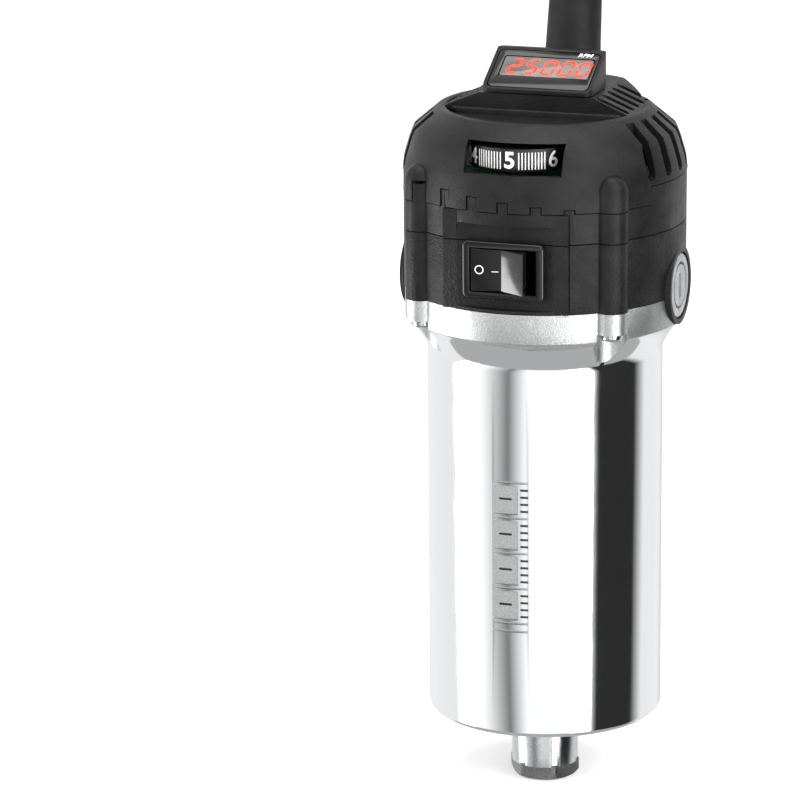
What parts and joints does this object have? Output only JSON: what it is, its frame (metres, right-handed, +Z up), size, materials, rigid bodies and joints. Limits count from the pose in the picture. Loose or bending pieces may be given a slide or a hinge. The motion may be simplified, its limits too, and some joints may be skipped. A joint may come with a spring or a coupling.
{
  "type": "trim router",
  "caption": "Corded trim router motor with a smooth clamping body, collet nut, speed dial, tilted speed display, rocker switch, brush caps and a rear cord.",
  "frame": {"origin": "on the spindle axis in the plane of the motor body's lower rim", "axes": "+Z up along the spindle from the collet to the display, -Y towards the switch and dial, +X to the right seen from the front"},
  "size_m": [0.1006, 0.2381, 0.3187],
  "materials": {
    "polished_aluminium": "polished",
    "cast_aluminium": "cast",
    "black_nylon": "fine texture",
    "gloss_black": "gloss",
    "grey_plastic": "satin",
    "smoked_window": "clear smoked",
    "steel": "ground",
    "dark_steel": "dark",
    "laminations": "stacked sheet",
    "copper": "enamelled copper wire",
    "brass": "plain",
    "carbon": "carbon graphite",
    "rubber": "matte",
    "fan_nylon": "moulded",
    "board_green": "solder mask",
    "magnet": "sintered",
    "cord_pvc": "satin"
  },
  "bodies": {
    "housing": {"board_screw_1": "steel", "board_screw_2": "steel", "brush_holder_left": "brass", "brush_holder_right": "brass", "brush_spring_left": "steel", "brush_spring_right": "steel", "clamp_screw_1": "steel", "clamp_screw_2": "steel", "control_board": "board_green", "cord": "cord_pvc", "cord_boot": "rubber", "cord_clamp": "black_nylon", "cord_hank": "cord_pvc", "cord_plug": "cord_pvc", "cord_tie": "rubber", "dial_potentiometer": "dark_steel", "display_housing": "black_nylon", "display_module": "grey_plastic", "display_panel": "gloss_black", "display_window": "smoked_window", "fan_baffle": "black_nylon", "field_coil_front": "copper", "field_coil_rear": "copper", "filter_capacitor": "grey_plastic", "front_bearing_circlip": "dark_steel", "front_bearing_outer_race": "steel", "housing_screw_1": "steel", "housing_screw_2": "steel", "housing_screw_3": "steel", "housing_screw_4": "steel", "lower_housing": "black_nylon", "middle_housing": "black_nylon", "motor_body": "polished_aluminium", "rear_bearing_outer_race": "steel", "rear_bearing_sleeve": "rubber", "stator_core": "laminations", "switch_body": "gloss_black", "top_cover": "black_nylon", "triac_heatsink": "cast_aluminium"},
    "spindle": {"rotor_shaft": "steel", "cooling_fan": "fan_nylon", "rotor_core": "laminations", "rotor_winding_lower": "copper", "rotor_winding_upper": "copper", "commutator": "copper", "front_bearing_inner_race": "steel", "rear_bearing_inner_race": "steel", "tacho_magnet": "magnet"},
    "front_balls": {"front_bearing_ball_cage": "dark_steel"},
    "rear_balls": {"rear_bearing_ball_cage": "dark_steel"},
    "collet": {"collet": "steel"},
    "collet_nut": {"collet_nut": "steel"},
    "speed_dial": {"speed_dial": "gloss_black"},
    "switch_rocker": {"switch_rocker": "gloss_black"},
    "brush_right": {"carbon_brush_right": "carbon"},
    "brush_left": {"carbon_brush_left": "carbon"},
    "contact_right": {"brush_contact_right": "brass"},
    "contact_left": {"brush_contact_left": "brass"},
    "cap_right": {"brush_cap_right": "grey_plastic"},
    "cap_left": {"brush_cap_left": "grey_plastic"}
  },
  "joints": [
    {"name": "spindle_spin", "type": "hinge", "parent": "housing", "child": "spindle", "pos_m": [0, 0, 0], "axis": [0, 0, 1], "continuous": true},
    {"name": "front_balls_roll", "type": "hinge", "parent": "housing", "child": "front_balls", "pos_m": [0, 0, 0], "axis": [0, 0, 1], "continuous": true},
    {"name": "rear_balls_roll", "type": "hinge", "parent": "housing", "child": "rear_balls", "pos_m": [0, 0, 0], "axis": [0, 0, 1], "continuous": true},
    {"name": "collet_advance", "type": "slide", "parent": "spindle", "child": "collet", "axis": [0, 0, -1], "range_m": [0, 0.00225]},
    {"name": "collet_nut_turn", "type": "hinge", "parent": "collet", "child": "collet_nut", "pos_m": [0, 0, 0], "axis": [0, 0, -1], "range_deg": [0, 1080]},
    {"name": "dial_turn", "type": "hinge", "parent": "housing", "child": "speed_dial", "pos_m": [0, -0.0205, 0], "axis": [0, 0, 1], "range_deg": [-48, 192]},
    {"name": "switch_rock", "type": "hinge", "parent": "housing", "child": "switch_rocker", "pos_m": [0, -0.0345, 0.1332], "axis": [0, 0, 1], "range_deg": [0, 22]},
    {"name": "brush_slide_right", "type": "slide", "parent": "housing", "child": "brush_right", "axis": [1, 0, 0], "range_m": [0, 0.003], "stiffness_N_per_m": 250, "springref_m": -0.004, "deforming": ["brush_spring_right"]},
    {"name": "brush_slide_left", "type": "slide", "parent": "housing", "child": "brush_left", "axis": [-1, 0, 0], "range_m": [0, 0.003], "stiffness_N_per_m": 250, "springref_m": -0.004, "deforming": ["brush_spring_left"]},
    {"name": "cap_advance_right", "type": "slide", "parent": "housing", "child": "contact_right", "axis": [1, 0, 0], "range_m": [0, 0.004]},
    {"name": "cap_advance_left", "type": "slide", "parent": "housing", "child": "contact_left", "axis": [-1, 0, 0], "range_m": [0, 0.004]},
    {"name": "cap_turn_right", "type": "hinge", "parent": "contact_right", "child": "cap_right", "pos_m": [0.035, 0, 0.1232], "axis": [1, 0, 0], "range_deg": [0, 1440]},
    {"name": "cap_turn_left", "type": "hinge", "parent": "contact_left", "child": "cap_left", "pos_m": [-0.035, 0, 0.1232], "axis": [-1, 0, 0], "range_deg": [0, 1440]}
  ],
  "couplings": [
    {"joint": "front_balls_roll", "follows": "spindle_spin", "ratio": 0.411},
    {"joint": "rear_balls_roll", "follows": "spindle_spin", "ratio": 0.427},
    {"joint": "collet_nut_turn", "follows": "collet_advance", "rad_per_m": 8377.6},
    {"joint": "cap_turn_right", "follows": "cap_advance_right", "rad_per_m": 6283.2},
    {"joint": "cap_turn_left", "follows": "cap_advance_left", "rad_per_m": 6283.2}
  ]
}
